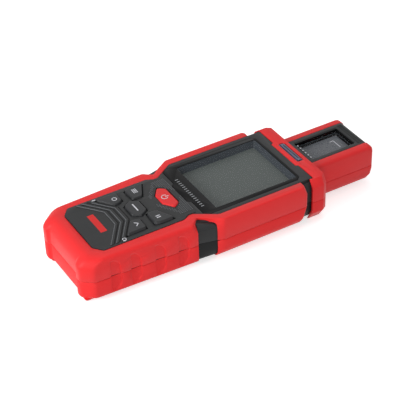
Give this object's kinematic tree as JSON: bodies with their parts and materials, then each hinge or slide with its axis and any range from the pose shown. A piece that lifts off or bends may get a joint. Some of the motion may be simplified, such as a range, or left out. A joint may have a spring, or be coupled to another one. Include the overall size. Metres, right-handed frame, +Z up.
{
  "type": "solar irradiance meter",
  "caption": "Hand-held solar irradiance meter with a keypad, a display window and a glazed sensor head that stands out beyond a collar.",
  "frame": {"origin": "bottom centre of the bounding box, on the surface that the meter lies on", "axes": "+Y along the meter towards the sensor head, +Z up out of the display, +X to the right as the display is read"},
  "size_m": [0.078, 0.2318, 0.0361],
  "materials": {
    "battery_sleeve": "printed sleeve over steel",
    "black_abs": "fine spark-eroded moulded ABS",
    "plated_steel": "nickel-plated steel",
    "dark_plastic": "moulded dark ABS",
    "key_rubber": "moulded silicone",
    "clear_lens": "polished clear acrylic",
    "red_rubber": "soft-touch thermoplastic elastomer",
    "white_plastic": "white diffuser",
    "lcd_glass": "polarised display glass",
    "smoked_diffuser": "smoked polycarbonate",
    "circuit_board": "solder-masked laminate",
    "power_key_rubber": "moulded silicone",
    "silicon_cell": "anti-reflective silicon",
    "red_abs": "soft-touch coated ABS",
    "ribbon_cable": "polyimide and copper laminate",
    "sensor_glass": "polished toughened glass"
  },
  "bodies": {
    "housing": {"battery_1": "battery_sleeve", "battery_2": "battery_sleeve", "battery_3": "battery_sleeve", "board_screw_1": "plated_steel", "board_screw_2": "plated_steel", "board_screw_3": "plated_steel", "board_screw_4": "plated_steel", "buzzer": "dark_plastic", "case_screw_1": "plated_steel", "case_screw_2": "plated_steel", "case_screw_3": "plated_steel", "case_screw_4": "plated_steel", "cell_carrier": "dark_plastic", "centre_switch": "plated_steel", "controller_chip": "dark_plastic", "display_lens": "clear_lens", "flat_contact_1": "plated_steel", "flat_contact_2": "plated_steel", "flat_contact_3": "plated_steel", "front_overmould": "red_rubber", "front_shell": "black_abs", "lcd_backlight": "white_plastic", "lcd_frame": "dark_plastic", "lcd_panel": "lcd_glass", "light_bar": "smoked_diffuser", "light_bar_bezel": "black_abs", "lower_left_switch": "plated_steel", "lower_right_switch": "plated_steel", "main_board": "circuit_board", "power_switch": "plated_steel", "rear_grip_overmould": "red_rubber", "rear_left_cheek": "red_rubber", "rear_right_cheek": "red_rubber", "rear_shell": "black_abs", "reference_cell": "silicon_cell", "sensor_board": "circuit_board", "sensor_frame": "black_abs", "sensor_front_shell": "red_abs", "sensor_rear_shell": "red_abs", "sensor_ribbon": "ribbon_cable", "sensor_screw_1": "plated_steel", "sensor_screw_2": "plated_steel", "sensor_window": "sensor_glass", "spring_contact_1": "plated_steel", "spring_contact_2": "plated_steel", "spring_contact_3": "plated_steel", "status_led": "white_plastic", "upper_left_switch": "plated_steel", "upper_right_switch": "plated_steel"},
    "centre_key": {"centre_key": "key_rubber"},
    "lower_left_key": {"lower_left_key": "key_rubber"},
    "lower_right_key": {"lower_right_key": "key_rubber"},
    "power_key": {"power_key": "power_key_rubber"},
    "upper_left_key": {"upper_left_key": "key_rubber"},
    "upper_right_key": {"upper_right_key": "key_rubber"},
    "battery_door": {"battery_door": "black_abs"}
  },
  "joints": [
    {"name": "centre_key_press", "type": "slide", "parent": "housing", "child": "centre_key", "axis": [0, 0, -1], "range_m": [0, 0.0007], "stiffness_N_per_m": 800},
    {"name": "lower_left_key_press", "type": "slide", "parent": "housing", "child": "lower_left_key", "axis": [0, 0, -1], "range_m": [0, 0.0007], "stiffness_N_per_m": 800},
    {"name": "lower_right_key_press", "type": "slide", "parent": "housing", "child": "lower_right_key", "axis": [0, 0, -1], "range_m": [0, 0.0007], "stiffness_N_per_m": 800},
    {"name": "power_key_press", "type": "slide", "parent": "housing", "child": "power_key", "axis": [0, 0, -1], "range_m": [0, 0.0007], "stiffness_N_per_m": 800},
    {"name": "upper_left_key_press", "type": "slide", "parent": "housing", "child": "upper_left_key", "axis": [0, 0, -1], "range_m": [0, 0.0007], "stiffness_N_per_m": 800},
    {"name": "upper_right_key_press", "type": "slide", "parent": "housing", "child": "upper_right_key", "axis": [0, 0, -1], "range_m": [0, 0.0007], "stiffness_N_per_m": 800},
    {"name": "battery_door_slide", "type": "slide", "parent": "housing", "child": "battery_door", "axis": [0, -1, 0], "range_m": [0, 0.062]}
  ]
}
